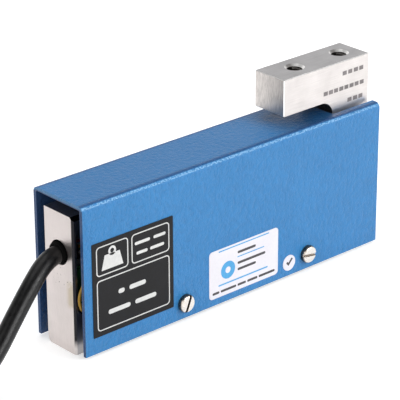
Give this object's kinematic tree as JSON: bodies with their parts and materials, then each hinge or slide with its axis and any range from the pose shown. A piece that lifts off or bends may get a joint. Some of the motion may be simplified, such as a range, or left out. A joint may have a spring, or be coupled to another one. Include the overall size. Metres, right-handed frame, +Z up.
{
  "type": "single point load cell",
  "caption": "Low-capacity single point load cell: an S-shaped machined sensing element under a folded sheet cover, with a hooked loading bracket and a free cable.",
  "frame": {"origin": "middle of the cover's length and width, on the plane of the sensing element's bottom face", "axes": "+X from the cable end towards the bracket end, -Y towards the labelled side, +Z up towards the loading face"},
  "size_m": [0.2635, 0.0508, 0.0664],
  "materials": {
    "aluminium": "milled and fine brushed",
    "blue_paint": "fine orange-peel enamel",
    "nickel_steel": "nickel plated",
    "black_label": "satin film",
    "white_label": "satin film",
    "cable_black": "satin sheath",
    "sleeve_black": "matte",
    "tie_black": "nylon",
    "insulation_red": "satin",
    "insulation_black": "satin",
    "insulation_green": "satin",
    "insulation_white": "satin",
    "insulation_yellow": "satin",
    "tinned_copper": "tinned",
    "board_green": "solder mask",
    "resistor_body": "lacquer",
    "gauge_foil": "polyimide film",
    "gauge_coating": "silicone"
  },
  "bodies": {
    "root": {"balance_resistor_1": "resistor_body", "balance_resistor_2": "resistor_body", "cable": "cable_black", "cable_hank": "cable_black", "cable_sleeve": "sleeve_black", "cable_tie": "tie_black", "conductor_black": "insulation_black", "conductor_green": "insulation_green", "conductor_red": "insulation_red", "conductor_white": "insulation_white", "conductor_yellow": "insulation_yellow", "cover": "blue_paint", "gauge_bottom_left": "gauge_foil", "gauge_bottom_right": "gauge_foil", "gauge_coating_bottom_left": "gauge_coating", "gauge_coating_bottom_right": "gauge_coating", "gauge_coating_top_left": "gauge_coating", "gauge_coating_top_right": "gauge_coating", "gauge_lead_bottom": "insulation_white", "gauge_lead_top": "insulation_white", "gauge_top_left": "gauge_foil", "gauge_top_right": "gauge_foil", "info_label": "white_label", "inspection_sticker": "white_label", "lead_black": "insulation_black", "lead_green": "insulation_green", "lead_red": "insulation_red", "lead_white": "insulation_white", "rating_label": "black_label", "screw_front_left": "nickel_steel", "screw_front_right": "nickel_steel", "screw_rear_left": "nickel_steel", "screw_rear_right": "nickel_steel", "sensing_element": "aluminium", "spacer_front_left": "nickel_steel", "spacer_front_right": "nickel_steel", "spacer_rear_left": "nickel_steel", "spacer_rear_right": "nickel_steel", "terminal_board": "board_green", "tinned_ends": "tinned_copper"}
  },
  "joints": []
}
